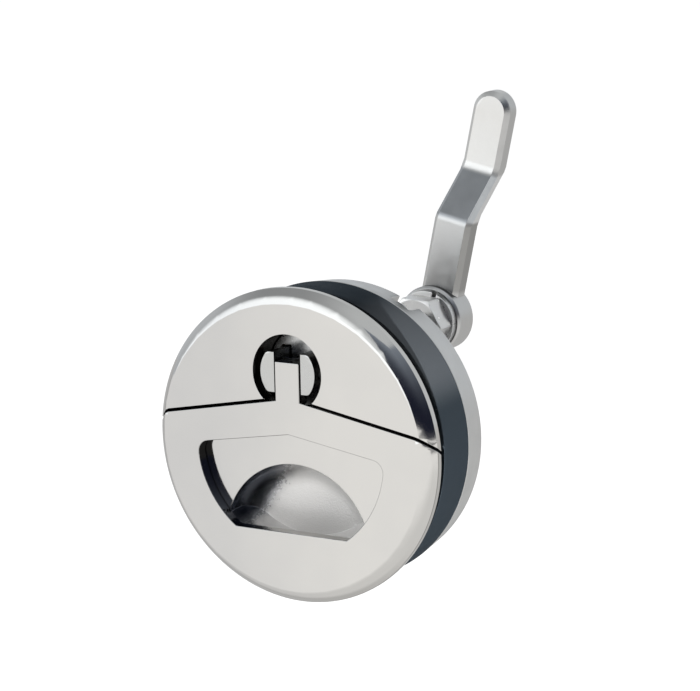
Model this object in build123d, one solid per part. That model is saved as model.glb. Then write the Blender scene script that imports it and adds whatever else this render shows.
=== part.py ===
from build123d import *
from math import cos, radians, sin, sqrt, tan
import os

# Lift ring latch for a hatch or locker lid, in millimetres.
# Frame: X right and Z up as seen from the front, +Y back through the panel.
# The origin is where the barrel's axis meets the panel's front surface.

os.makedirs("parts", exist_ok=True)

# Face disc
disc_r = 31.0
disc_t = 4.2
bevel_w = 2.6
bevel_depth = 2.9
face_edge = 0.5
flange_inset = 2.7
flange_t = 1.2
disc_flat_r = disc_r - bevel_w
flange_r = disc_r - flange_inset
face_y = -flange_t - disc_t
bevel_y = face_y + bevel_depth

# Threaded barrel and what clamps it to the panel
barrel_inset = 6.0
barrel_r = disc_r - barrel_inset
barrel_wall = 2.2
barrel_length = 22.0
floor_back_y = 0.6
casting_wall = 1.9
clamp_gap = 0.15
gasket_inset = 1.7
gasket_t = 2.0
gasket_r = disc_r - gasket_inset
spacer_w = 4.75
spacer_t = 10.0
spacer_inner_r = barrel_r + clamp_gap
spacer_r = spacer_inner_r + spacer_w
ring_t = 6.9
ring_taper = 0.8
ring_front_r = spacer_r
ring_back_r = ring_front_r - ring_taper
ring_thread_gap = 0.05
notch_count = 2
notch_angle = 62.0
notch_w = 4.6
notch_length = 4.4
notch_depth = 2.6

# Spindle axis, its round recess in the face and its tube behind the barrel
axis_inset = 10.1
axis_z = barrel_r - axis_inset
recess_r = 7.6
tube_wall = 1.9

# Parting line between the fixed segment and the folding handle, a shallow chevron
parting_drop = 4.7
parting_peak_z = axis_z - parting_drop
parting_slope = 0.185
parting_gap = 0.6
parting_draft = 33.0

# Folding handle: a cap with a thin plate, a deep rim and a finger opening
plate_t = 2.4
rim_w = 3.1
rim_inner_r = disc_r - rim_w
seat_gap = 0.05
side_bar_w = 10.25
top_bar_w = 7.3
grip_w = 14.4
opening_r = disc_r - side_bar_w
opening_peak_z = parting_peak_z - top_bar_w
opening_slope = 0.165
opening_bottom_z = grip_w - disc_r
opening_corner_r = 2.4
tab_w = 5.3
tab_root_r = 1.0

# Raised platform below the handle's plate, and the finger scoop in it
platform_gap = 0.1
platform_side_gap = 0.3
scoop_drop = 3.2
scoop_z = opening_bottom_z - scoop_drop
scoop_r = 16.3
scoop_depth = 5.6
scoop_back_bevel = 4.5
scoop_limit_w = 3.0
scoop_limit_r = barrel_r - scoop_limit_w
scoop_draft = 30.0

# Hinge of the handle in the slotted spindle head
pin_r = 1.25
pin_inset = 2.4
pin_gap = 0.05
pin_length = 11.0
cam_r = 3.2
cam_lift = 0.8
tab_crown = 0.3
neck_t = 3.0
neck_root = 1.8
neck_low_z = parting_peak_z - neck_root
head_r = 6.0
head_h = 7.8
head_corner_r = 1.0
head_inset = 0.25
slot_side_gap = 0.3
stroke = 2 * cam_lift

# Thrust plate and washer that the handle's cam presses on
cam_gap = 0.05
thrust_t = 1.6
thrust_r = 7.4
thrust_hole_r = 6.3
thrust_side_gap = 0.3
thrust_washer_t = 0.8
slot_floor_gap = 0.15

# Spindle and the pieces on it
run_gap = 0.05
bore_r = 7.0
bush_length = 8.8
shaft_r = 4.0
tail_r = 3.175
tail_thread_run = 3.6
tail_proud = 0.9
seal_w = 1.8
seal_depth = 1.1
seal_inset = 2.6
seal_gap = 0.02
stop_gap = 0.5
spring_wire_r = 0.6
spring_wire_sides = 6
spring_r = 5.4
spring_turns = 4
spring_length = 8.6
spring_seat_t = 0.8
spring_end_gap = 0.02
collar_t = 1.2
collar_r = 6.7
circlip_t = 1.0
circlip_r = 5.5
circlip_depth = 0.5
circlip_opening = 70.0

# Threaded bush that closes the tube
rear_bush_plug = 4.6
rear_bush_af = 14.0
rear_bush_head = 3.2
rear_bush_turn = 30.0
bush_gasket_t = 0.8
rear_seal_inset = 1.6
rear_seal_w = 1.6
rear_seal_depth = 0.9

# Arm with its boss, and the nut and split washer that lock it
boss_r = 7.2
boss_t = 6.6
boss_y = 52.0
arm_angle = 12.3
arm_w = 8.6
arm_t = 4.8
arm_jog_start = 22.0
arm_jog_end = 31.8
arm_jog_angle = 41.2
arm_length = 48.2
arm_edge = 1.0
lock_washer_t = 1.7
lock_washer_r = 6.5
lock_washer_split = 0.9
lock_washer_slant = 25.0
lock_washer_turn = 73.0
nut_af = 11.0
nut_t = 5.1
nut_turn = 28.0
thread_gap = 0.03

# Places that follow from the sizes above
reach = 2 * disc_r
rim_back_y = -flange_t - seat_gap
plate_back_y = face_y + plate_t
platform_y = plate_back_y + platform_gap
pin_y = face_y + pin_inset
cam_y = pin_y + cam_lift
cam_z = axis_z - cam_lift
tab_top_z = cam_z + cam_r - tab_crown
thrust_y = cam_y + cam_r + cam_gap
thrust_washer_y = thrust_y + thrust_t
recess_y = thrust_washer_y + thrust_washer_t
slot_floor_y = thrust_washer_y + slot_floor_gap
slot_w = tab_w + 2 * slot_side_gap
bush_end_y = recess_y + bush_length
shoulder_y = bush_end_y - stroke - stop_gap
seal_y = recess_y + seal_inset
spring_y = bush_end_y + spring_seat_t
collar_y = spring_y + spring_length
circlip_y = collar_y + collar_t
rear_bush_y = circlip_y + circlip_t + stroke + stop_gap
rear_seal_y = rear_bush_y + rear_seal_inset
tube_end_y = rear_bush_y + rear_bush_plug
tube_r = bore_r + tube_wall
boss_back_y = boss_y + boss_t
tail_end_y = boss_back_y + tail_proud
nut_y = boss_y - lock_washer_t - nut_t
tail_start_y = nut_y - tail_thread_run
shaft_bore_r = shaft_r + run_gap
tail_bore_r = tail_r + thread_gap


# Shapes that several pieces share
def on_axis(shape):
    """Moves a shape from the barrel's axis to the spindle's."""
    return Pos(0, 0, axis_z) * shape


def cylinder_y(radius, start, end):
    """A cylinder along Y."""
    return Pos(0, (start + end) / 2, 0) * Rot(90, 0, 0) * Cylinder(radius, end - start)


def ring_y(outer, inner, start, end):
    """A plain ring along Y."""
    return cylinder_y(outer, start, end) - cylinder_y(inner, start, end)


def turned(*points):
    """A solid turned about Y from points (radius, y)."""
    return revolve(make_face(Polyline(*points, close=True)), Axis.Y)


def plate_y(sketch, start, end, draft=0.0):
    """A sketch drawn in X and Z, made solid from start to end along Y and sinking at the draft angle."""
    run = (end - start) / cos(radians(draft))
    direction = (0, cos(radians(draft)), -sin(radians(draft)))
    return extrude(Plane.XZ.offset(-start) * sketch, amount=run, dir=direction)


def below(peak, slope):
    """The area below a chevron line with its peak on the centre line."""
    side = peak - slope * reach
    corners = ((-reach, side), (0, peak), (reach, side), (reach, -reach), (-reach, -reach))
    return make_face(Polyline(*corners, close=True))


def above(peak, slope):
    """The area above a chevron line with its peak on the centre line."""
    side = peak - slope * reach
    corners = ((-reach, side), (0, peak), (reach, side), (reach, reach), (-reach, reach))
    return make_face(Polyline(*corners, close=True))


def hexagon_y(across_flats, start, end, turn, chamfer_front, chamfer_back):
    """A hexagon along Y with turned corners, its first flat facing the angle turn."""
    corner_r = across_flats / sqrt(3)
    flats = Rot(0, 0, turn + 30) * RegularPolygon(corner_r, 6)
    drop = (corner_r - across_flats / 2) * tan(radians(30))
    front = [(across_flats / 2, start), (corner_r, start + drop)] if chamfer_front else [(corner_r, start)]
    back = [(corner_r, end - drop), (across_flats / 2, end)] if chamfer_back else [(corner_r, end)]
    rounding = turned((0, start), *front, *back, (0, end))
    return plate_y(flats, start, end) & rounding


def opening_sketch():
    """The finger opening: a disc cut by a shallow chevron above and a straight line below."""
    outline = Circle(opening_r) & below(opening_peak_z, opening_slope)
    outline -= Pos(0, opening_bottom_z - reach) * Rectangle(2 * reach, 2 * reach)
    corners = outline.vertices().sort_by(Axis.Y)[-3:-1]
    return fillet(corners, opening_corner_r)


def face_outline():
    """Half of the face's section (radius, y): flat front, eased edge and bevel."""
    share = face_edge / sqrt(bevel_w**2 + bevel_depth**2)
    return [
        (0, face_y),
        (disc_flat_r - face_edge, face_y),
        (disc_flat_r + share * bevel_w, face_y + share * bevel_depth),
        (disc_r, bevel_y),
    ]


def scoop_dish():
    """A flat-bottomed dish with a round side."""
    bottom_r = scoop_r - scoop_depth
    bottom_y = platform_y + scoop_depth
    side = RadiusArc((scoop_r, platform_y), (bottom_r, bottom_y), -scoop_depth)
    rest = Polyline((bottom_r, bottom_y), (0, bottom_y), (0, platform_y), (scoop_r, platform_y))
    return Pos(0, 0, scoop_z) * revolve(make_face(side + rest), Axis.Y)


def scoop_back():
    """The bulge behind the dish, seen inside the barrel."""
    back_r = scoop_r + casting_wall
    back_y = platform_y + scoop_depth + casting_wall
    inner_r = back_r - scoop_back_bevel
    side_y = back_y - scoop_back_bevel
    back = turned((0, 0), (back_r, 0), (back_r, side_y), (inner_r, back_y), (0, back_y))
    return Pos(0, 0, scoop_z) * back & cylinder_y(barrel_r - barrel_wall / 2, 0, barrel_length)


# Body casting: face segment, flange, platform, scoop, threaded barrel and spindle tube
def make_body_casting():
    disc = turned(*face_outline(), (disc_r, -flange_t), (0, -flange_t))
    bottom_z = parting_peak_z + parting_gap / 2
    segment = disc & plate_y(above(bottom_z, parting_slope), face_y, -flange_t, parting_draft)
    platform_r = rim_inner_r - platform_side_gap
    front = segment + cylinder_y(platform_r, platform_y, -flange_t) + cylinder_y(flange_r, -flange_t, 0)
    barrel = cylinder_y(barrel_r, 0, barrel_length)
    barrel -= cylinder_y(barrel_r - barrel_wall, floor_back_y, barrel_length)
    tube = on_axis(cylinder_y(tube_r, 0, tube_end_y))
    scoop_end_y = platform_y + 2 * scoop_depth
    scoop_end_r = scoop_limit_r - (scoop_end_y - platform_y) * tan(radians(scoop_draft))
    scoop_mouth = ((0, platform_y), (scoop_limit_r, platform_y))
    scoop_wall = turned(*scoop_mouth, (scoop_end_r, scoop_end_y), (0, scoop_end_y))
    casting = front + barrel + tube + scoop_back() - (scoop_dish() & scoop_wall)
    casting -= on_axis(cylinder_y(recess_r, face_y, recess_y))
    casting -= on_axis(cylinder_y(bore_r, recess_y, tube_end_y))
    return casting


# Folding handle with its tab, hinge eye and cam heel
def make_lift_handle():
    cap = turned(
        *face_outline(),
        (disc_r, rim_back_y),
        (rim_inner_r, rim_back_y),
        (rim_inner_r, plate_back_y),
        (0, plate_back_y),
    )
    top_z = parting_peak_z - parting_gap / 2
    handle = cap & plate_y(below(top_z, parting_slope), face_y, rim_back_y, parting_draft)
    handle -= plate_y(opening_sketch(), face_y, plate_back_y)
    handle += make_tab()
    root_edges = [
        e
        for e in handle.edges().filter_by(Axis.Y)
        if abs(abs(e.center().X) - tab_w / 2) < pin_gap and e.center().Z < top_z
    ]
    handle = fillet(root_edges, tab_root_r) if root_edges else handle
    return handle - Pos(0, pin_y, axis_z) * Rot(0, 90, 0) * Cylinder(pin_r + pin_gap, 2 * tab_w)


def make_tab():
    """The hinge tab: a flat-fronted neck and a round heel that is off the pin's centre."""
    neck_back = face_y + neck_t
    corners = ((face_y, neck_low_z), (face_y, tab_top_z), (neck_back, tab_top_z), (neck_back, neck_low_z))
    neck = make_face(Polyline(*corners, close=True))
    profile = neck + Pos(cam_y, cam_z) * Circle(cam_r)
    return extrude(Plane.YZ.offset(-tab_w / 2) * profile, tab_w)


# Spindle: slotted head, shouldered shaft and threaded tail in one piece
def make_spindle():
    head_y = face_y + head_inset
    groove_r = head_r - seal_depth
    circlip_groove_r = shaft_r - circlip_depth
    tip = tail_r / 5
    spindle = turned(
        (0, head_y),
        (head_r, head_y),
        (head_r, seal_y),
        (groove_r, seal_y),
        (groove_r, seal_y + seal_w),
        (head_r, seal_y + seal_w),
        (head_r, shoulder_y),
        (shaft_r, shoulder_y),
        (shaft_r, circlip_y),
        (circlip_groove_r, circlip_y),
        (circlip_groove_r, circlip_y + circlip_t),
        (shaft_r, circlip_y + circlip_t),
        (shaft_r, tail_start_y),
        (tail_r, tail_start_y + shaft_r - tail_r),
        (tail_r, tail_end_y - tip),
        (tail_r - tip, tail_end_y),
        (0, tail_end_y),
    )
    flats = Rectangle(reach, reach) - Rectangle(reach, head_h)
    spindle -= plate_y(flats, head_y, slot_floor_y)
    corners = [e for e in spindle.edges().filter_by(Axis.Y) if abs(abs(e.center().Z) - head_h / 2) < pin_gap]
    spindle = fillet(corners, head_corner_r)
    spindle -= plate_y(Rectangle(slot_w, reach), head_y, slot_floor_y)
    return on_axis(spindle) - Pos(0, pin_y, axis_z) * Rot(0, 90, 0) * Cylinder(pin_r, 3 * head_r)


def make_hinge_pin():
    pin = Cylinder(pin_r, pin_length)
    pin = chamfer(pin.edges().filter_by(GeomType.CIRCLE), pin_r / 5)
    return Pos(0, pin_y, axis_z) * Rot(0, 90, 0) * pin


# Thrust plate: a ring with a bar across it that passes through the spindle's slot
def make_thrust_plate():
    cheeks = Circle(thrust_hole_r) & Rectangle(3 * head_r, head_h + 2 * thrust_side_gap)
    cheeks -= Rectangle(tab_w, reach)
    return on_axis(plate_y(Circle(thrust_r) - cheeks, thrust_y, thrust_washer_y))


def make_seal(inner, outer, start, width):
    """A seal ring that narrows to its running edge."""
    slope = (outer - inner) / 2
    return turned(
        (inner, start),
        (outer - slope, start),
        (outer, start + slope),
        (outer, start + width - slope),
        (outer - slope, start + width),
        (inner, start + width),
    )


# Return spring: an open coil that pushes the spindle back
def make_return_spring():
    end = spring_wire_r + spring_end_gap
    rise = spring_length - 2 * end
    start = (0, spring_y + end, 0)
    coil = Helix(rise / spring_turns, rise, spring_r, center=start, direction=(0, 1, 0))
    wire = Plane(origin=coil @ 0, z_dir=coil % 0) * RegularPolygon(spring_wire_r, spring_wire_sides)
    return on_axis(sweep(wire, path=coil, is_frenet=True))


def make_circlip():
    inner = shaft_r - circlip_depth
    clip = Circle(circlip_r) - Circle(inner)
    half = radians(circlip_opening / 2)
    tip = (reach * cos(half), reach * sin(half))
    clip -= make_face(Polyline((0, 0), tip, (tip[0], -tip[1]), close=True))
    return on_axis(plate_y(clip, circlip_y, circlip_y + circlip_t))


# Flange gasket: a flat ring with a lip round the flange's edge
def make_flange_gasket():
    lip_r = flange_r + seat_gap
    lip_y = -flange_t + seat_gap
    return turned(
        (spacer_inner_r, 0),
        (lip_r, 0),
        (lip_r, lip_y),
        (gasket_r, lip_y),
        (gasket_r, gasket_t),
        (spacer_inner_r, gasket_t),
    )


# Rear bush: a threaded plug with a hexagon head
def make_rear_bush():
    seal_outer = shaft_bore_r + rear_seal_depth
    head_start = tube_end_y + bush_gasket_t
    plug = turned(
        (shaft_bore_r, rear_bush_y),
        (bore_r, rear_bush_y),
        (bore_r, head_start),
        (shaft_bore_r, head_start),
        (shaft_bore_r, rear_seal_y + rear_seal_w),
        (seal_outer, rear_seal_y + rear_seal_w),
        (seal_outer, rear_seal_y),
        (shaft_bore_r, rear_seal_y),
    )
    head = hexagon_y(rear_bush_af, head_start, head_start + rear_bush_head, rear_bush_turn, False, True)
    head -= cylinder_y(shaft_bore_r, head_start, head_start + rear_bush_head)
    return on_axis(plug + head)


# Ring nut that clamps the barrel, with spanner notches in its back edge
def make_ring_nut():
    front_y = gasket_t + spacer_t
    back_y = front_y + ring_t
    inner_r = barrel_r + ring_thread_gap
    nut = turned((inner_r, front_y), (ring_front_r, front_y), (ring_back_r, back_y), (inner_r, back_y))
    notch_centre_r = ring_back_r - notch_depth + ring_front_r / 2
    for index in range(notch_count):
        angle = notch_angle + index * 360 / notch_count
        notch = Rot(0, 0, angle) * Pos(notch_centre_r, 0) * Rectangle(ring_front_r, notch_w)
        nut -= plate_y(notch, back_y - notch_length, back_y)
    return nut


# Split lock washer: a flat ring with a slanted gap
def make_split_washer():
    start = boss_y - lock_washer_t
    washer = ring_y(lock_washer_r, tail_bore_r, start, boss_y)
    gap = Rot(0, 0, lock_washer_slant) * Box(lock_washer_split, 3 * lock_washer_t, lock_washer_r)
    gap = Pos(0, start + lock_washer_t / 2, (lock_washer_r + tail_bore_r) / 2) * gap
    return on_axis(washer - Rot(0, 90 - lock_washer_turn, 0) * gap)


def make_hex_nut():
    nut = hexagon_y(nut_af, nut_y, nut_y + nut_t, nut_turn, True, True)
    return on_axis(nut - cylinder_y(tail_bore_r, nut_y, nut_y + nut_t))


# Latch arm: a boss, a flat bar with a backward jog and a round tip
def make_latch_arm():
    jog = (arm_jog_end - arm_jog_start) * tan(radians(arm_jog_angle))
    front = boss_back_y - arm_t
    side = make_face(
        Polyline(
            (front, 0),
            (front, arm_jog_start),
            (front + jog, arm_jog_end),
            (front + jog, arm_length),
            (boss_back_y + jog, arm_length),
            (boss_back_y + jog, arm_jog_end),
            (boss_back_y, arm_jog_start),
            (boss_back_y, 0),
            close=True,
        )
    )
    bar = extrude(Plane.YZ.offset(-arm_w / 2) * side, arm_w)
    tip_z = arm_length - arm_w / 2
    outline = Pos(0, tip_z / 2) * Rectangle(arm_w, tip_z) + Pos(0, tip_z) * Circle(arm_w / 2)
    bar &= plate_y(outline, front, boss_back_y + jog)
    bar = chamfer(bar.edges().filter_by(lambda e: e.center().Z > boss_r / 2), arm_edge)
    boss = cylinder_y(boss_r, boss_y, boss_back_y)
    boss = chamfer(boss.edges().filter_by(GeomType.CIRCLE), arm_edge / 2)
    arm = boss + bar - cylinder_y(tail_bore_r, boss_y, boss_back_y)
    return on_axis(Rot(0, arm_angle, 0) * arm)


# Write one STEP file for each piece
parts = {
    "body_casting": make_body_casting(),
    "flange_gasket": make_flange_gasket(),
    "spacer_ring": ring_y(spacer_r, spacer_inner_r, gasket_t, gasket_t + spacer_t),
    "ring_nut": make_ring_nut(),
    "thrust_plate": make_thrust_plate(),
    "thrust_washer": on_axis(ring_y(thrust_r, thrust_hole_r, thrust_washer_y, recess_y)),
    "front_bush": on_axis(ring_y(bore_r, head_r + run_gap, recess_y, bush_end_y)),
    "spring_seat": on_axis(ring_y(bore_r - run_gap, shaft_bore_r, bush_end_y, spring_y)),
    "return_spring": make_return_spring(),
    "rear_bush": make_rear_bush(),
    "bush_gasket": on_axis(ring_y(tube_r, bore_r + run_gap, tube_end_y, tube_end_y + bush_gasket_t)),
    "rear_seal": on_axis(
        make_seal(shaft_r + seal_gap, shaft_bore_r + rear_seal_depth, rear_seal_y, rear_seal_w)
    ),
    "spindle": make_spindle(),
    "hinge_pin": make_hinge_pin(),
    "spindle_seal": on_axis(make_seal(head_r - seal_depth + seal_gap, head_r + seal_gap, seal_y, seal_w)),
    "spring_collar": on_axis(ring_y(collar_r, shaft_bore_r, collar_y, circlip_y)),
    "circlip": make_circlip(),
    "lift_handle": make_lift_handle(),
    "latch_arm": make_latch_arm(),
    "split_washer": make_split_washer(),
    "hex_nut": make_hex_nut(),
}
for name, shape in parts.items():
    export_step(shape, f"parts/{name}.step")
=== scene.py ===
from math import cos, pi, radians, sin

import bmesh
import bpy
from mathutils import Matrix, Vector


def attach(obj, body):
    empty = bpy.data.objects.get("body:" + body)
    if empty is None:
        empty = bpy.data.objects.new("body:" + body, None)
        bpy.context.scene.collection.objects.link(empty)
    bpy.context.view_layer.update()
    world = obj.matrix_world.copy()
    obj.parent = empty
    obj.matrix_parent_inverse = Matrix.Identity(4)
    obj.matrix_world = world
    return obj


# Lift ring latch: camera, light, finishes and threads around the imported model.
# Everything is in metres, X right, +Y back through the panel, +Z up.

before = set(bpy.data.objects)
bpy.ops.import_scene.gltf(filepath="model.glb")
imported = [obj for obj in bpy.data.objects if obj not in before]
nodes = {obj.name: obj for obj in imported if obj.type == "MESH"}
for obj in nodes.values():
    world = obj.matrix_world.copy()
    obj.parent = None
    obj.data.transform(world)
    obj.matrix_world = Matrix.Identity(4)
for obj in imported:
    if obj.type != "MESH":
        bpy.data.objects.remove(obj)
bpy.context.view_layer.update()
MM = 0.001


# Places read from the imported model
def span(name, axis):
    """The lowest and highest value of a node's mesh along an axis: 0 for X, 1 for Y, 2 for Z."""
    values = [vertex.co[axis] for vertex in nodes[name].data.vertices]
    return min(values), max(values)


FACE_Y = span("lift_handle", 1)[0]
DISC_R = -span("lift_handle", 2)[0]
AXIS_Z = sum(span("hex_nut", 2)) / 2
NUT_FRONT_Y = span("hex_nut", 1)[0]
RING_BACK_Y = span("ring_nut", 1)[1]
RING_R = span("spacer_ring", 0)[1]

# Places worked out from those
PLATFORM_Y = FACE_Y + 2.5 * MM
BARREL_R = DISC_R - 6.0 * MM
RECESS_R = 7.6 * MM
SCOOP_R = 16.3 * MM
SCOOP_Z = 11.2 * MM - DISC_R
BEVEL_START = DISC_R - 3.3 * MM
BEVEL_END = DISC_R - 0.8 * MM
BEVEL_RISE = 0.6 * MM
TAIL_R = 3.175 * MM
ARM_LINE = (0.213, 0, 0.977)
ARM_FOOT = AXIS_Z * ARM_LINE[2]
BOSS_TOP = ARM_FOOT + 5.94 * MM
JOG_START = ARM_FOOT + 21.84 * MM
JOG_END = ARM_FOOT + 31.04 * MM

# Directions that the finishes follow
ACROSS_SCOOP = (0.83, 0, -0.55)
TOWARDS_FLANK = (0.977, 0, -0.213)
TOWARDS_HAZE_AND_SHEEN = (0.72, 0, 0.69)

# Camera, fitted to the photograph
AZIMUTH = 31.366
ELEVATION = 13.899
ROLL = -1.432
AIM_OFFSET = (0.020686, 0.038896, -1)
LENS = 133.52
CAMERA_DISTANCE = 0.5
CAMERA_Y = -2.5 * MM

# Levels of the studio that reflections see
SECOND_BOUNCE = 0.03
SECOND_LEFT = 0.2
TOWARDS_LEFT = (-0.94, -0.34, 0)
TOWARDS_FRONT = (-0.545, -0.835, 0.1)
FRONT_LEVEL = 1.5
SIDE_LEVEL = 0.66
OVER_LEFT_LEVEL = 0.36
OVER_RIGHT_LEVEL = 0.62
FLOOR_FRONT_LEVEL = 0.8
FLOOR_BACK_LEVEL = 0.58
FLOOR_FAR_EXTRA = 0.22
INDIRECT = (0.02, 0.02, 0.025)

# Lamps, flags and floor
KEY = (0.37, -1, -0.05)
LEFT_LAMP = (-0.5, -0.85, 0.35)
BACK_LAMP = (0.5, 1, 0.45)
BLOCKER_DISTANCE = 0.1
BLOCKER_R = 0.02
FLAG_R = 1.1
FLAG_HEIGHTS = (-0.015, 0.6, 1.36)
FLAG_FADE = 0.15
RIGHT_FLAG_R = 0.7
RIGHT_FLAG_HEIGHTS = (-0.044, -0.077)
FLAG_BLACK = (0.012, 0.014, 0.028)
FLAG_TOP = (0.22, 0.25, 0.3)
FLOOR_HALF = 20
FLOOR_Z = -0.25


# Camera at the photograph's angle
def make_camera():
    azimuth, elevation, roll = radians(AZIMUTH), radians(ELEVATION), radians(ROLL)
    back = Vector((sin(azimuth) * cos(elevation), -cos(azimuth) * cos(elevation), sin(elevation)))
    right = Vector((cos(azimuth), sin(azimuth), 0))
    up = back.cross(right)
    across = right * cos(roll) + up * sin(roll)
    upward = up * cos(roll) - right * sin(roll)
    offset = Vector(AIM_OFFSET).normalized()
    aim = across * offset.x + upward * offset.y + back * offset.z
    side = upward.cross(-aim).normalized()
    top = (-aim).cross(side).normalized()
    data = bpy.data.cameras.new("camera")
    data.sensor_width = 36
    data.lens = LENS
    data.clip_start = 0.01
    data.clip_end = 100
    camera = bpy.data.objects.new("camera", data)
    bpy.context.collection.objects.link(camera)
    matrix = camera.matrix_world.to_3x3()
    for row in range(3):
        matrix[row][0], matrix[row][1], matrix[row][2] = side[row], top[row], -aim[row]
    camera.matrix_world = matrix.to_4x4()
    camera.location = back * CAMERA_DISTANCE + Vector((0, CAMERA_Y, 0))
    bpy.context.scene.camera = camera


# Node helpers
class Maker:
    """Adds nodes to one node tree and links them."""

    def __init__(self, tree):
        self.tree = tree
        self.nodes = tree.nodes
        self.links = tree.links

    def node(self, kind, **inputs):
        made = self.nodes.new(kind)
        for key, value in inputs.items():
            self.put(made.inputs[key.replace("_", " ")], value)
        return made

    def put(self, socket, value):
        if isinstance(value, bpy.types.NodeSocket):
            self.links.new(value, socket)
        else:
            socket.default_value = value

    def math(self, operation, a, b=0.0):
        made = self.nodes.new("ShaderNodeMath")
        made.operation = operation
        self.put(made.inputs[0], a)
        self.put(made.inputs[1], b)
        return made.outputs[0]

    def step(self, value, low, high, start=0.0, end=1.0):
        """A smooth ramp of value: start at low, end at high."""
        made = self.nodes.new("ShaderNodeMapRange")
        made.interpolation_type = "SMOOTHSTEP"
        for index, given in enumerate((value, low, high, start, end)):
            self.put(made.inputs[index], given)
        return made.outputs[0]

    def mix(self, factor, a, b):
        made = self.nodes.new("ShaderNodeMix")
        made.data_type = "RGBA"
        self.put(made.inputs[0], factor)
        self.put(made.inputs[6], a)
        self.put(made.inputs[7], b)
        return made.outputs[2]

    def blend(self, factor, a, b):
        """A number between a and b."""
        made = self.nodes.new("ShaderNodeMix")
        self.put(made.inputs[0], factor)
        self.put(made.inputs[2], a)
        self.put(made.inputs[3], b)
        return made.outputs[0]

    def noise(self, vector, size, detail=3.0, roughness=0.5):
        """Noise whose features are about size metres across."""
        made = self.node("ShaderNodeTexNoise", Vector=vector, Scale=1 / size, Detail=detail)
        made.inputs["Roughness"].default_value = roughness
        return made.outputs["Fac"]

    def towards(self, vector, direction):
        """How far a unit vector points in a direction."""
        made = self.nodes.new("ShaderNodeVectorMath")
        made.operation = "DOT_PRODUCT"
        self.put(made.inputs[0], vector)
        self.put(made.inputs[1], Vector(direction).normalized())
        return made.outputs["Value"]

    def bounced(self, place):
        """1 in a surface's own reflection; beyond it low, but higher towards the left."""
        depth = self.node("ShaderNodeLightPath").outputs["Glossy Depth"]
        made = self.nodes.new("ShaderNodeVectorMath")
        made.operation = "NORMALIZE"
        self.put(made.inputs[0], place)
        facing = self.towards(made.outputs[0], TOWARDS_LEFT)
        beyond = self.step(facing, 0.62, 0.85, SECOND_BOUNCE, SECOND_LEFT)
        return self.blend(self.step(depth, 1.2, 1.8), 1.0, beyond)

    def distance(self, x, z, centre_z):
        """The distance from an axis along Y at x = 0 and z = centre_z."""
        down = self.math("SUBTRACT", z, centre_z)
        square = self.math("ADD", self.math("MULTIPLY", x, x), self.math("MULTIPLY", down, down))
        return self.math("SQRT", square)


def material(name, base, metallic, roughness):
    """A new material with its shader; returns the material, its maker, shader and object coordinates."""
    made = bpy.data.materials.new(name)
    made.use_nodes = True
    maker = Maker(made.node_tree)
    shader = made.node_tree.nodes["Principled BSDF"]
    shader.inputs["Base Color"].default_value = (*base, 1)
    shader.inputs["Metallic"].default_value = metallic
    shader.inputs["Roughness"].default_value = roughness
    coordinates = maker.node("ShaderNodeTexCoord").outputs["Object"]
    return made, maker, shader, coordinates


def bump(maker, shader, height, distance, strength=1.0, under=None):
    """Bump of the given height, over another normal if given; distance is in metres."""
    made = maker.node("ShaderNodeBump", Height=height, Distance=distance, Strength=strength)
    if under:
        maker.put(made.inputs["Normal"], under)
    maker.put(shader.inputs["Normal"], made.outputs["Normal"])


def eased_bevel(maker, x, z):
    """A normal that rounds the bevel off next to the flat face."""
    height = maker.step(maker.distance(x, z, 0.0), BEVEL_START, BEVEL_END)
    made = maker.node("ShaderNodeBump", Height=height, Distance=BEVEL_RISE, Strength=1.0)
    return made.outputs["Normal"]


# Finishes
POLISHED = (0.70, 0.685, 0.655)
POLISHED_LEFT = (0.60, 0.592, 0.58)
# Painted shade: the share of black in the handle's rounded edges.
EDGE_PAINTED_SHADE = 0.25
TURNED = (0.66, 0.66, 0.65)
SATIN = (0.62, 0.62, 0.61)
NUT = (0.8, 0.8, 0.79)
WASHER = (0.75, 0.75, 0.74)
SPINDLE = (0.54, 0.54, 0.525)
WIRE = (0.5, 0.5, 0.5)
BRONZE = (0.62, 0.42, 0.2)
ACETAL = (0.78, 0.77, 0.72)
# Painted shade: the dark colour at the scoop's upper left.
SCOOP_PAINTED_SHADE = (0.17, 0.185, 0.22)
BLASTED_LOW = (0.56, 0.55, 0.535)
BLASTED_HIGH = (0.68, 0.67, 0.655)
# Painted shade: a darker tone for the scoop's right end.
BLASTED_RIGHT_PAINTED_SHADE = (0.50, 0.495, 0.485)
BLASTED_METALLIC = 0.4
CAST = (0.68, 0.675, 0.66)
# Arm tones with painted light: mid section and right flank darker as painted shade, tip brighter as painted
# light, a painted highlight on the mid section's flank.
CAST_JOG_PAINTED_SHADE = (0.40, 0.41, 0.42)
CAST_TIP_PAINTED_LIGHT = (0.79, 0.775, 0.745)
FLANK_PAINTED_SHADE = (0.42, 0.415, 0.40)
FLANK_JOG_PAINTED_HIGHLIGHT = (0.90, 0.90, 0.89)
FLANK_TIP_PAINTED_SHADE = (0.66, 0.655, 0.64)
BLACK_RUBBER = (0.006, 0.007, 0.009)
GREY_RUBBER = (0.032, 0.041, 0.05)
# Lighter rubber tone for a patch on the upper right: dusty haze and painted sheen.
HAZE_AND_SHEEN = (0.15, 0.165, 0.18)
SPECK = (0.4, 0.42, 0.45)


def polished_tone(maker, place, x):
    """The polished colour: faint clouds and a little darker towards the left."""
    cloud = maker.noise(place, 12 * MM, 4)
    side = maker.step(x, -28 * MM, 18 * MM)
    tone = maker.math("ADD", side, maker.step(cloud, 0.3, 0.7, -0.12, 0.12))
    return maker.mix(tone, (*POLISHED_LEFT, 1), (*POLISHED, 1))


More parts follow.
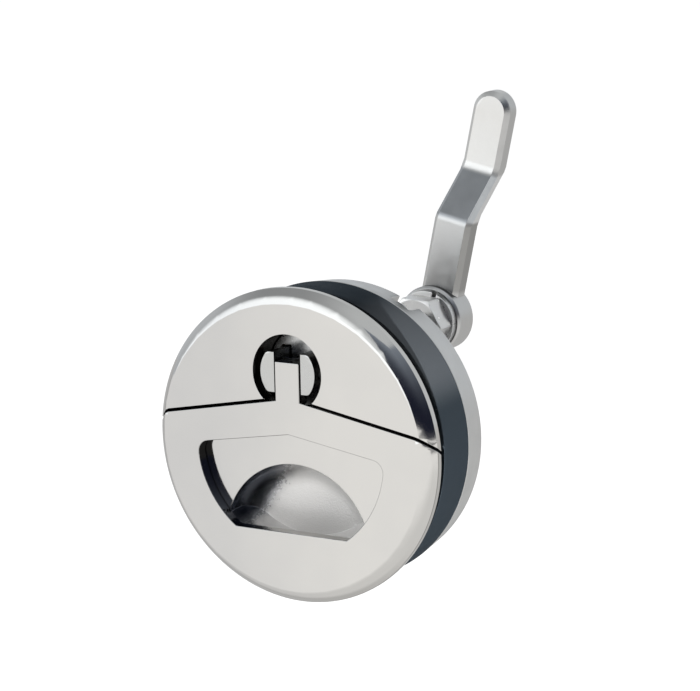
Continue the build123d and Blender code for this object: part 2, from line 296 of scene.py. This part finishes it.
def polished_metal(name, painted_shade=0.0):
    """Polished stainless steel with faint wipe marks, darkened towards black by a share as painted shade."""
    made, maker, shader, place = material(name, POLISHED, 1.0, 0.1)
    x, y, z = maker.node("ShaderNodeSeparateXYZ", Vector=place).outputs
    tone = polished_tone(maker, place, x)
    # Painted shade: the colour is mixed towards black by the given share.
    maker.put(shader.inputs["Base Color"], maker.mix(painted_shade, tone, (0, 0, 0, 1)))
    soft = maker.noise(place, 9 * MM, 4)
    fine = maker.noise(place, 0.25 * MM, 2)
    roughness = maker.step(soft, 0.3, 0.7, 0.07, 0.12)
    maker.put(shader.inputs["Roughness"], roughness)
    bump(maker, shader, fine, 0.002 * MM, 0.25, eased_bevel(maker, x, z))
    return made


def casting_metal(name):
    """The body casting: polished face and platform; the scoop and inside have a blast finish, with painted
    shade: a dark glossy patch at the scoop's upper left and a darker right end.
    """
    made, maker, shader, place = material(name, POLISHED, 1.0, 0.1)
    x, y, z = maker.node("ShaderNodeSeparateXYZ", Vector=place).outputs
    radius = maker.distance(x, z, 0.0)
    ragged = maker.noise(place, 1.2 * MM, 6, 0.7)
    grain = maker.noise(place, 0.35 * MM, 4, 0.6)
    inside = maker.step(radius, BARREL_R - 0.4 * MM, BARREL_R - 0.2 * MM, 1, 0)
    behind = maker.step(y, PLATFORM_Y + 0.03 * MM, PLATFORM_Y + 0.3 * MM)
    beside = maker.step(maker.distance(x, z, AXIS_Z), RECESS_R + 0.05 * MM, RECESS_R + 0.2 * MM)
    cast = maker.math("MULTIPLY", maker.math("MULTIPLY", inside, behind), beside)
    wander = maker.math("MULTIPLY", ragged, 2 * MM)
    across = maker.math("ADD", maker.towards(place, ACROSS_SCOOP), wander)
    # Painted shade: this mask is 0 at the scoop's upper left, where the casting gets a dark glossy colour in
    # place of the shade and dark reflections there.
    blasted_outside_shade = maker.step(across, -2.5 * MM, 2.5 * MM)
    around = maker.step(maker.distance(x, z, SCOOP_Z), SCOOP_R, SCOOP_R + 0.2 * MM)
    normal = maker.node("ShaderNodeTexCoord").outputs["Normal"]
    backward = maker.step(maker.towards(normal, (0, 1, 0)), 0.1, 0.3)
    blasted_outside_shade = maker.math("MAXIMUM", blasted_outside_shade, maker.math("MAXIMUM", around, backward))
    polish = maker.step(maker.noise(place, 9 * MM, 4), 0.3, 0.7, 0.07, 0.12)
    satin = maker.blend(blasted_outside_shade, 0.16, maker.step(ragged, 0.35, 0.65, 0.28, 0.38))
    metallic_share = maker.blend(blasted_outside_shade, 1.0, BLASTED_METALLIC)
    maker.put(shader.inputs["Metallic"], maker.blend(cast, 1.0, metallic_share))
    maker.put(shader.inputs["Roughness"], maker.blend(cast, polish, satin))
    light = maker.mix(ragged, (*BLASTED_LOW, 1), (*BLASTED_HIGH, 1))
    # Painted shade: the scoop's right end is darker.
    light = maker.mix(maker.step(across, 4 * MM, 14 * MM), light, (*BLASTED_RIGHT_PAINTED_SHADE, 1))
    # Painted shade: the dark colour at the scoop's upper left.
    tone = maker.mix(blasted_outside_shade, (*SCOOP_PAINTED_SHADE, 1), light)
    maker.put(shader.inputs["Base Color"], maker.mix(cast, polished_tone(maker, place, x), tone))
    rough = maker.math("MULTIPLY", maker.math("MULTIPLY", grain, cast), blasted_outside_shade)
    bump(maker, shader, rough, 0.08 * MM, 0.8, eased_bevel(maker, x, z))
    return made


def turned_metal(name, base, low, high, metallic=1.0):
    """Turned stainless steel with fine rings round the Y axis."""
    made, maker, shader, place = material(name, base, metallic, high)
    x, y, z = maker.node("ShaderNodeSeparateXYZ", Vector=place).outputs
    along = maker.node("ShaderNodeCombineXYZ", X=0.0, Y=y, Z=0.0).outputs[0]
    lines = maker.noise(along, 0.12 * MM, 4, 0.7)
    soft = maker.noise(place, 4 * MM, 3)
    blotch = maker.step(soft, 0.3, 0.7, low, high)
    maker.put(shader.inputs["Roughness"], blotch)
    light = tuple(min(1.0, channel * 1.12) for channel in base)
    maker.put(shader.inputs["Base Color"], maker.mix(lines, (*base, 1), (*light, 1)))
    bump(maker, shader, lines, 0.01 * MM, 0.5)
    return made


def cast_metal(name):
    """Tumbled cast stainless steel with painted light: the mid section darker as painted shade and the tip
    brighter as painted light; on its right flank, above the boss, darker painted shade with a painted
    highlight along the mid section.
    """
    made, maker, shader, place = material(name, CAST, 1.0, 0.35)
    grain = maker.noise(place, 0.22 * MM, 4, 0.6)
    cloud = maker.noise(place, 3.5 * MM, 4, 0.6)
    along = maker.towards(place, ARM_LINE)
    jog = maker.step(along, JOG_START - 0.4 * MM, JOG_START + 0.4 * MM)
    tip = maker.step(along, JOG_END - 0.4 * MM, JOG_END + 0.4 * MM)
    # Painted shade on the mid section, painted light at the tip.
    tone = maker.mix(tip, maker.mix(jog, (*CAST, 1), (*CAST_JOG_PAINTED_SHADE, 1)), (*CAST_TIP_PAINTED_LIGHT, 1))
    flank = maker.mix(tip, maker.mix(jog, (*FLANK_PAINTED_SHADE, 1), (*FLANK_JOG_PAINTED_HIGHLIGHT, 1)), (*FLANK_TIP_PAINTED_SHADE, 1))
    normal = maker.node("ShaderNodeTexCoord").outputs["Normal"]
    # Painted shade and highlight by facing: faces turned towards the right flank get the flank tones.
    sideways = maker.step(maker.towards(normal, TOWARDS_FLANK), 0.2, 0.45)
    above = maker.step(along, BOSS_TOP, BOSS_TOP + 1.5 * MM)
    tone = maker.mix(maker.math("MULTIPLY", sideways, above), tone, flank)
    dark = maker.mix(0.12, tone, (0, 0, 0, 1))
    maker.put(shader.inputs["Base Color"], maker.mix(cloud, dark, tone))
    maker.put(shader.inputs["Roughness"], maker.step(cloud, 0.3, 0.7, 0.28, 0.38))
    bump(maker, shader, grain, 0.02 * MM, 0.6)
    return made


def rubber(name, base, specular, specks):
    """Moulded rubber with a fine grain and, where wanted, pale specks and a lighter patch on the upper right
    that is dusty haze and painted sheen.
    """
    made, maker, shader, place = material(name, base, 0.0, 0.5)
    shader.inputs["Specular IOR Level"].default_value = specular
    grain = maker.noise(place, 0.15 * MM, 3, 0.6)
    cloud = maker.noise(place, 5 * MM, 4, 0.6)
    light = tuple(channel * 1.25 for channel in base)
    colour = maker.mix(cloud, (*base, 1), (*light, 1))
    if specks:
        # A lighter patch towards the upper right: partly dusty haze, partly painted sheen.
        outward = maker.towards(place, TOWARDS_HAZE_AND_SHEEN)
        hazy_sheen = maker.step(outward, RING_R - 3.4 * MM, RING_R - 0.4 * MM)
        colour = maker.mix(maker.math("MULTIPLY", hazy_sheen, 0.8), colour, (*HAZE_AND_SHEEN, 1))
        dots = maker.node("ShaderNodeTexVoronoi", Vector=place, Scale=1 / (2.2 * MM))
        spot = maker.step(dots.outputs["Distance"], 0.03, 0.08, 1, 0)
        some = maker.step(maker.noise(place, 6 * MM, 2), 0.52, 0.6)
        speck = maker.math("MULTIPLY", spot, some)
        colour = maker.mix(maker.math("MULTIPLY", speck, 0.3), colour, (*SPECK, 1))
    maker.put(shader.inputs["Base Color"], colour)
    maker.put(shader.inputs["Roughness"], maker.step(cloud, 0.3, 0.7, 0.6, 0.8))
    bump(maker, shader, grain, 0.01 * MM, 0.4)
    return made


def plastic(name, base):
    """Matt engineering plastic."""
    made, maker, shader, place = material(name, base, 0.0, 0.45)
    cloud = maker.noise(place, 2 * MM, 4)
    light = tuple(min(1.0, channel * 1.08) for channel in base)
    maker.put(shader.inputs["Base Color"], maker.mix(cloud, (*base, 1), (*light, 1)))
    bump(maker, shader, maker.noise(place, 0.1 * MM), 0.005 * MM, 0.3)
    return made


def finish_nodes():
    """Gives each CAD node its finish, and the handle a second, darker one for its rounded edges, which is
    painted shade.
    """
    polished = polished_metal("polished_stainless")
    turned = turned_metal("turned_stainless", TURNED, 0.2, 0.3)
    satin = turned_metal("satin_stainless", SATIN, 0.3, 0.42, 0.9)
    black = rubber("black_rubber", BLACK_RUBBER, 0.04, False)
    grey = rubber("grey_rubber", GREY_RUBBER, 0.02, True)
    finishes = {
        "body_casting": casting_metal("body_casting_metal_painted_shade"),
        "lift_handle": polished,
        "flange_gasket": black,
        "bush_gasket": black,
        "rear_seal": black,
        "spindle_seal": black,
        "spacer_ring": grey,
        "ring_nut": satin,
        "latch_arm": cast_metal("cast_stainless"),
        "hex_nut": turned_metal("nut_stainless", NUT, 0.2, 0.28, 0.5),
        "split_washer": turned_metal("washer_stainless", WASHER, 0.25, 0.35, 0.6),
        "spindle": turned_metal("spindle_stainless", SPINDLE, 0.2, 0.3),
        "return_spring": turned_metal("spring_wire", WIRE, 0.25, 0.35),
        "thrust_washer": plastic("acetal", ACETAL),
        "front_bush": turned_metal("bronze", BRONZE, 0.3, 0.4),
    }
    for name, node in nodes.items():
        node.data.materials.clear()
        node.data.materials.append(finishes.get(name, turned))
    # The handle's rounded edges get the polished finish darkened by a share: painted shade along the edges.
    nodes["lift_handle"].data.materials.append(polished_metal("polished_edge_painted_shade", EDGE_PAINTED_SHADE))


# Rounded edges on the pieces that show
def soften(name, width, clamped):
    """Smooth shading with small rounded edges, which take the last material of the node; on the handle that
    is the darker copy, painted shade along the edges.
    """
    node = nodes[name]
    weld = node.modifiers.new("weld", "WELD")
    weld.merge_threshold = 0.002 * MM
    edges = node.modifiers.new("rounded_edges", "BEVEL")
    edges.width = width
    edges.segments = 2
    edges.limit_method = "ANGLE"
    edges.angle_limit = radians(25)
    edges.use_clamp_overlap = clamped
    edges.material = len(node.data.materials) - 1
    node.data.shade_smooth()
    shading = node.modifiers.new("shading", "WEIGHTED_NORMAL")
    shading.keep_sharp = True


def soften_nodes():
    """Rounds the pieces that show; on the handle, whose plain faces allow it, to the full width."""
    widths = {
        "body_casting": 0.12,
        "lift_handle": 0.16,
        "ring_nut": 0.3,
        "spacer_ring": 0.25,
        "flange_gasket": 0.1,
        "latch_arm": 0.5,
        "hex_nut": 0.12,
        "split_washer": 0.12,
        "spindle": 0.12,
        "hinge_pin": 0.08,
        "rear_bush": 0.15,
    }
    for name, width in widths.items():
        soften(name, width * MM, name != "lift_handle")


# Screw threads where they show
def thread(name, body, root, depth, pitch, start, length, centre_z, segments):
    """A helical ridge round an axis along Y, fading out at both ends."""
    turns = length / pitch
    steps = int(turns * segments)
    foot = root - depth / 2
    mesh = bmesh.new()
    loops = []
    for index in range(steps + 1):
        angle = 2 * pi * index / segments
        middle = start + length * index / steps
        fade = min(1.0, 4 * index / segments, 4 * (steps - index) / segments)
        tip = root + depth * max(fade, 0.05)
        section = ((foot, -pitch / 2), (tip, -pitch / 16), (tip, pitch / 16), (foot, pitch / 2))
        loops.append([
            mesh.verts.new((radius * cos(angle), middle + shift, centre_z + radius * sin(angle)))
            for radius, shift in section
        ])
    for first, second in zip(loops, loops[1:]):
        for index in range(4):
            after = (index + 1) % 4
            mesh.faces.new((first[index], first[after], second[after], second[index]))
    mesh.faces.new(reversed(loops[0]))
    mesh.faces.new(loops[-1])
    bmesh.ops.recalc_face_normals(mesh, faces=mesh.faces)
    data = bpy.data.meshes.new(name)
    mesh.to_mesh(data)
    mesh.free()
    piece = bpy.data.objects.new(name, data)
    bpy.context.collection.objects.link(piece)
    data.materials.append(bpy.data.materials["turned_stainless"])
    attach(piece, body)


def make_threads():
    thread(
        "barrel_thread", "housing", root=BARREL_R, depth=0.4 * MM, pitch=1.5 * MM,
        start=RING_BACK_Y + 1.0 * MM, length=1.2 * MM, centre_z=0, segments=96,
    )
    thread(
        "tail_thread_front", "spindle", root=TAIL_R, depth=0.2 * MM, pitch=1.0 * MM,
        start=NUT_FRONT_Y - 2.6 * MM, length=2.0 * MM, centre_z=AXIS_Z, segments=48,
    )


# Floor, world and lamps
def make_floor():
    """A floor that the camera sees as white, with levels of its own in reflections."""
    made = bpy.data.materials.new("floor")
    made.use_nodes = True
    tree = made.node_tree
    tree.nodes.clear()
    maker = Maker(tree)
    output = tree.nodes.new("ShaderNodeOutputMaterial")
    path = maker.node("ShaderNodeLightPath").outputs
    seen = maker.math("MAXIMUM", path["Is Camera Ray"], path["Is Transmission Ray"])
    place = maker.node("ShaderNodeTexCoord").outputs["Object"]
    x, y, z = maker.node("ShaderNodeSeparateXYZ", Vector=place).outputs
    near = maker.step(y, -0.05, 0.05, FLOOR_FRONT_LEVEL, FLOOR_BACK_LEVEL)
    level = maker.math("ADD", near, maker.step(y, -0.5, -0.1, FLOOR_FAR_EXTRA, 0.0))
    mirror = maker.math("MULTIPLY", level, maker.bounced(place))
    pale = maker.node("ShaderNodeBsdfDiffuse", Color=(0.4, 0.4, 0.4, 1)).outputs[0]
    glow = maker.node("ShaderNodeEmission", Color=(1, 1, 1, 1), Strength=1.0).outputs[0]
    mirrored = maker.node("ShaderNodeEmission", Color=(1, 1, 1, 1), Strength=mirror).outputs[0]
    lit = maker.node("ShaderNodeAddShader")
    maker.links.new(pale, lit.inputs[0])
    maker.links.new(glow, lit.inputs[1])
    shown = maker.node("ShaderNodeMixShader", Fac=seen)
    maker.links.new(pale, shown.inputs[1])
    maker.links.new(lit.outputs[0], shown.inputs[2])
    mixed = maker.node("ShaderNodeMixShader", Fac=path["Is Glossy Ray"])
    maker.links.new(shown.outputs[0], mixed.inputs[1])
    maker.links.new(mirrored, mixed.inputs[2])
    maker.links.new(mixed.outputs[0], output.inputs["Surface"])
    data = bpy.data.meshes.new("floor")
    sides = ((-1, -1), (1, -1), (1, 1), (-1, 1))
    outline = [(FLOOR_HALF * across, FLOOR_HALF * along, FLOOR_Z) for across, along in sides]
    data.from_pydata(outline, [], [(0, 1, 2, 3)])
    data.materials.append(made)
    floor = bpy.data.objects.new("floor", data)
    bpy.context.collection.objects.link(floor)


def make_flag(name, start, end, radius, heights, top_tone):
    """A dark upright studio flag that only reflections see, bent round Z from start to end in degrees."""
    steps = 24
    points = []
    for index in range(steps + 1):
        angle = radians(start + (end - start) * index / steps)
        points += [(radius * sin(angle), -radius * cos(angle), height) for height in heights]
    count = len(heights)
    faces = []
    for index in range(steps):
        for row in range(count - 1):
            first = index * count + row
            faces.append((first, first + 1, first + count + 1, first + count))
    data = bpy.data.meshes.new(name)
    data.from_pydata(points, [], faces)
    made = bpy.data.materials.new(name)
    made.use_nodes = True
    maker = Maker(made.node_tree)
    shader = made.node_tree.nodes["Principled BSDF"]
    shader.inputs["Base Color"].default_value = (0, 0, 0, 1)
    shader.inputs["Specular IOR Level"].default_value = 0
    shader.inputs["Emission Strength"].default_value = 1
    place = maker.node("ShaderNodeTexCoord").outputs["Object"]
    x, y, z = maker.node("ShaderNodeSeparateXYZ", Vector=place).outputs
    rise = maker.step(z, FLAG_FADE, FLAG_HEIGHTS[-1])
    maker.put(shader.inputs["Emission Color"], maker.mix(rise, (*FLAG_BLACK, 1), (*top_tone, 1)))
    data.materials.append(made)
    flag = bpy.data.objects.new(name, data)
    bpy.context.collection.objects.link(flag)
    flag.visible_camera = False
    flag.visible_diffuse = False
    flag.visible_shadow = False


def make_blocker():
    """A disc that keeps the key lamp off the face, seen by nothing else."""
    count = 32
    angles = [2 * pi * index / count for index in range(count)]
    ring = [(BLOCKER_R * cos(angle), 0, BLOCKER_R * sin(angle)) for angle in angles]
    data = bpy.data.meshes.new("blocker")
    data.from_pydata(ring, [], [tuple(range(count))])
    blocker = bpy.data.objects.new("blocker", data)
    bpy.context.collection.objects.link(blocker)
    blocker.location = Vector(KEY).normalized() * BLOCKER_DISTANCE
    blocker.visible_camera = False
    blocker.visible_diffuse = False
    blocker.visible_glossy = False


def make_world():
    """A white backdrop whose reflections are bright at the front left and dimmer elsewhere."""
    world = bpy.data.worlds.new("studio")
    bpy.context.scene.world = world
    world.use_nodes = True
    tree = world.node_tree
    tree.nodes.clear()
    maker = Maker(tree)
    output = tree.nodes.new("ShaderNodeOutputWorld")
    path = maker.node("ShaderNodeLightPath").outputs
    place = maker.node("ShaderNodeTexCoord").outputs["Generated"]
    x, y, z = maker.node("ShaderNodeSeparateXYZ", Vector=place).outputs
    front = maker.step(maker.towards(place, TOWARDS_FRONT), 0.64, 0.86)
    overhead = maker.step(x, -0.45, 0.2, OVER_LEFT_LEVEL, OVER_RIGHT_LEVEL)
    around = maker.blend(maker.step(z, 0.3, 0.75), SIDE_LEVEL, overhead)
    level = maker.math("MULTIPLY", maker.blend(front, around, FRONT_LEVEL), maker.bounced(place))
    bluish = maker.node("ShaderNodeCombineXYZ", X=maker.math("MULTIPLY", level, 0.96), Y=level)
    maker.put(bluish.inputs["Z"], maker.math("MULTIPLY", level, 1.04))
    indirect = maker.mix(path["Is Diffuse Ray"], bluish.outputs[0], (*INDIRECT, 1))
    colour = maker.mix(path["Is Camera Ray"], indirect, (1, 1, 1, 1))
    background = maker.node("ShaderNodeBackground", Color=colour, Strength=1.0)
    maker.links.new(background.outputs[0], output.inputs["Surface"])


def make_lamp(name, direction, distance, size, power):
    """A square soft lamp that faces the latch and stays out of its reflections."""
    data = bpy.data.lights.new(name, "AREA")
    data.size = size
    data.energy = power
    lamp = bpy.data.objects.new(name, data)
    bpy.context.collection.objects.link(lamp)
    lamp.location = Vector(direction).normalized() * distance
    lamp.rotation_euler = (-lamp.location).to_track_quat("-Z", "Y").to_euler()
    lamp.visible_glossy = False


# The scene, built in order
make_camera()
make_world()
make_floor()
make_flag("flag", start=14, end=78, radius=FLAG_R, heights=FLAG_HEIGHTS, top_tone=FLAG_TOP)
make_flag(
    "right_flag", start=50, end=72, radius=RIGHT_FLAG_R, heights=RIGHT_FLAG_HEIGHTS,
    top_tone=FLAG_BLACK,
)
make_blocker()
make_lamp("key", KEY, distance=1.2, size=0.02, power=34)
make_lamp("left", LEFT_LAMP, distance=1.2, size=0.1, power=16)
make_lamp("back", BACK_LAMP, distance=1.0, size=0.3, power=5)
finish_nodes()
soften_nodes()
make_threads()
bpy.context.scene.view_settings.view_transform = "Standard"
